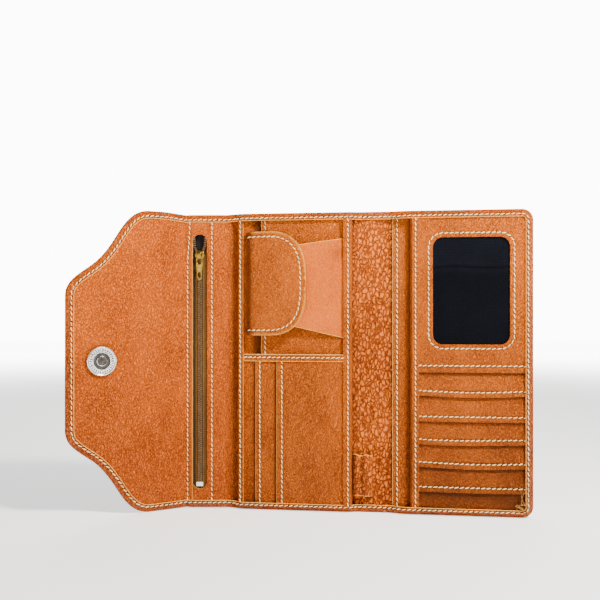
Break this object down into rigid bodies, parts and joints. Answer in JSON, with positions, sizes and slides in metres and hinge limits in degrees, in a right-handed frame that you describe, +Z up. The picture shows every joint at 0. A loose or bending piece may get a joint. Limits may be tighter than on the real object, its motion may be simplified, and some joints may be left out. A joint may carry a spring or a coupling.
{
  "type": "long wallet",
  "caption": "Tan leather long wallet, opened out: shaped flap with round snap, zip spine, coin pocket panel and card panel with mesh ID window.",
  "frame": {"origin": "middle of the open wallet's bounding box, on the surface that its lower long edge stands on", "axes": "+Z up along the folds; -Y the way the inside faces; +X towards the card panel"},
  "size_m": [0.2868, 0.0394, 0.1912],
  "materials": {
    "tan_leather": "pebbled, satin",
    "lining_leather": "pebbled, satin",
    "nickel": "polished",
    "dark_nickel": "antiqued",
    "zip_brass": "antiqued",
    "zip_tape": "woven",
    "window_mesh": "fine woven mesh",
    "stiffener": "bonded board"
  },
  "bodies": {
    "centre_panel": {"centre_binding_left": "tan_leather", "centre_binding_right": "tan_leather", "centre_edge_lower": "tan_leather", "centre_edge_upper": "tan_leather", "centre_lining": "lining_leather", "centre_outer_leather": "tan_leather", "coin_flap_root": "tan_leather", "coin_gusset_lower": "tan_leather", "coin_gusset_upper": "tan_leather", "coin_pocket_front": "tan_leather", "divider_strip": "tan_leather", "lower_slot_back": "tan_leather", "lower_slot_front": "tan_leather", "note_pocket_base": "tan_leather", "pen_loop": "tan_leather", "upper_slot_panel": "tan_leather"},
    "card_panel": {"bill_pocket_leaf": "tan_leather", "card_base": "tan_leather", "card_binding_left": "tan_leather", "card_lining": "lining_leather", "card_outer_leather": "tan_leather", "card_slot_1": "tan_leather", "card_slot_2": "tan_leather", "card_slot_3": "tan_leather", "card_slot_4": "tan_leather", "card_slot_5": "tan_leather", "card_slot_6": "tan_leather", "card_turned_edge": "tan_leather", "id_window_mesh": "window_mesh", "id_window_panel": "tan_leather", "snap_mate": "nickel"},
    "spine": {"spine_edge_lower": "tan_leather", "spine_edge_upper": "tan_leather", "spine_outer_leather": "tan_leather", "zip_bottom_stop": "nickel", "zip_facing": "tan_leather", "zip_pocket_lining": "zip_tape", "zip_tape_far": "zip_tape", "zip_tape_near": "zip_tape", "zip_teeth_far": "zip_tape", "zip_teeth_near": "zip_tape", "zip_top_stop_far": "nickel", "zip_top_stop_near": "nickel"},
    "front_flap": {"flap_lining": "lining_leather", "flap_outer_leather": "tan_leather", "flap_stiffener": "stiffener", "flap_turned_edge": "tan_leather", "snap_boss": "dark_nickel", "snap_cap": "nickel", "snap_washer": "nickel"},
    "coin_flap": {"coin_flap_leather": "tan_leather", "coin_flap_lining": "lining_leather"},
    "zip_slider_body": {"zip_slider": "zip_brass"},
    "zip_pull_tab": {"zip_pull": "zip_brass"}
  },
  "joints": [
    {"name": "spine_fold", "type": "hinge", "parent": "centre_panel", "child": "spine", "pos_m": [-0.04719, 0.0183, 0.095], "axis": [0, 0, 1], "range_deg": [-7.3, 82.7]},
    {"name": "flap_fold", "type": "hinge", "parent": "spine", "child": "front_flap", "pos_m": [-0.07479, 0.0183, 0.095], "axis": [0, 0, 1], "range_deg": [-28, 62]},
    {"name": "card_panel_fold", "type": "hinge", "parent": "centre_panel", "child": "card_panel", "pos_m": [0.05048, -0.0047, 0.095], "axis": [0, 0, -1], "range_deg": [0, 179.8]},
    {"name": "coin_flap_fold", "type": "hinge", "parent": "centre_panel", "child": "coin_flap", "pos_m": [-0.03284, 0.00991, 0.145], "axis": [0, 0, 1], "range_deg": [-150, 0]},
    {"name": "zip_slide", "type": "slide", "parent": "spine", "child": "zip_slider_body", "axis": [0, 0, 1], "range_m": [-0.1395, 0.006]},
    {"name": "zip_pull_swing", "type": "hinge", "parent": "zip_slider_body", "child": "zip_pull_tab", "pos_m": [-0.06549, 0.0134, 0.16195], "axis": [-1, 0, 0], "range_deg": [0, 180]}
  ]
}
